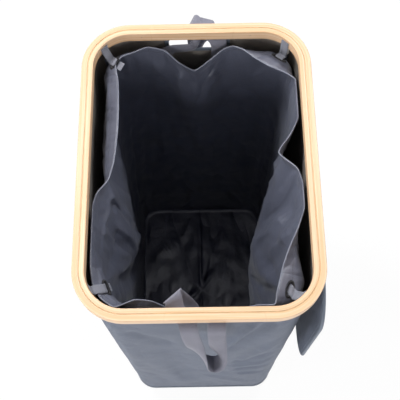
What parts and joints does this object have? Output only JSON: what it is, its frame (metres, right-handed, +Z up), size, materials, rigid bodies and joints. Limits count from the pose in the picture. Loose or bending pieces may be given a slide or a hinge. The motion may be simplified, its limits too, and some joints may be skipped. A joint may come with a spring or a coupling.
{
  "type": "laundry hamper with lid",
  "caption": "Tall soft-sided laundry hamper with a bamboo rim, a lift-out fabric liner with webbing handles, and a hinged lid that hangs at its side.",
  "frame": {"origin": "centre of the footprint, on the floor", "axes": "+Z up, front short side faces -Y, the lid hangs on the +X long side"},
  "size_m": [0.3343, 0.541, 0.73],
  "materials": {
    "bamboo": "satin",
    "brad_steel": "satin",
    "body_cloth": "woven",
    "edge_tape": "ribbed",
    "fibreboard": "matte",
    "greyboard": "matte",
    "rod_steel": "satin",
    "sleeve_cloth": "woven",
    "cap_plastic": "matte",
    "tab_tape": "woven",
    "liner_cloth": "woven",
    "slot_stitching": "stitched",
    "webbing": "ribbed"
  },
  "bodies": {
    "basket": {"outer_hoop": "bamboo", "inner_hoop": "bamboo", "hoop_brads": "brad_steel", "body_cloth_front": "body_cloth", "body_cloth_rear": "body_cloth", "body_cloth_left": "body_cloth", "body_cloth_right": "body_cloth", "body_cloth_corner_front_left": "body_cloth", "body_cloth_corner_front_right": "body_cloth", "body_cloth_corner_rear_left": "body_cloth", "body_cloth_corner_rear_right": "body_cloth", "base_cloth": "body_cloth", "lid_hinge_strip": "body_cloth", "hand_hole_binding_front": "edge_tape", "hand_hole_binding_rear": "edge_tape", "base_binding": "edge_tape", "base_board": "fibreboard", "support_rod_front_left": "rod_steel", "support_rod_front_right": "rod_steel", "support_rod_rear_left": "rod_steel", "support_rod_rear_right": "rod_steel", "rod_sleeve_front_left": "sleeve_cloth", "rod_sleeve_front_right": "sleeve_cloth", "rod_sleeve_rear_left": "sleeve_cloth", "rod_sleeve_rear_right": "sleeve_cloth", "rod_foot_caps": "cap_plastic", "rod_top_plugs": "cap_plastic", "corner_tab_front_left": "tab_tape", "corner_tab_front_right": "tab_tape", "corner_tab_rear_left": "tab_tape", "corner_tab_rear_right": "tab_tape", "liner_front": "liner_cloth", "liner_rear": "liner_cloth", "liner_left": "liner_cloth", "liner_right": "liner_cloth", "liner_corner_front_left": "liner_cloth", "liner_corner_front_right": "liner_cloth", "liner_corner_rear_left": "liner_cloth", "liner_corner_rear_right": "liner_cloth", "liner_base": "liner_cloth", "liner_slot_bindings": "slot_stitching", "handle_anchor_front": "webbing", "handle_anchor_rear": "webbing"},
    "front_handle": {"handle_loop_front": "webbing"},
    "rear_handle": {"handle_loop_rear": "webbing"},
    "flap": {"lid_flap": "body_cloth"},
    "lid": {"lid_board": "greyboard", "lid_inner_cloth": "liner_cloth", "lid_outer_cloth": "body_cloth", "lid_piping": "edge_tape"}
  },
  "joints": [
    {"name": "flap_fold", "type": "hinge", "parent": "basket", "child": "flap", "pos_m": [0.167, 0, 0.7095], "axis": [0, -1, 0], "range_deg": [0, 180]},
    {"name": "lid_swing", "type": "hinge", "parent": "flap", "child": "lid", "pos_m": [0.167, 0, 0.6855], "axis": [0, -1, 0], "range_deg": [0, 90]},
    {"name": "front_handle_swing", "type": "hinge", "parent": "basket", "child": "front_handle", "pos_m": [0.0035, -0.224, 0.704], "axis": [-1, 0, 0], "range_deg": [0, 140]},
    {"name": "rear_handle_swing", "type": "hinge", "parent": "basket", "child": "rear_handle", "pos_m": [0.011, 0.224, 0.704], "axis": [1, 0, 0], "range_deg": [0, 110]}
  ],
  "couplings": [
    {"joint": "lid_swing", "follows": "flap_fold", "ratio": 0.5}
  ]
}
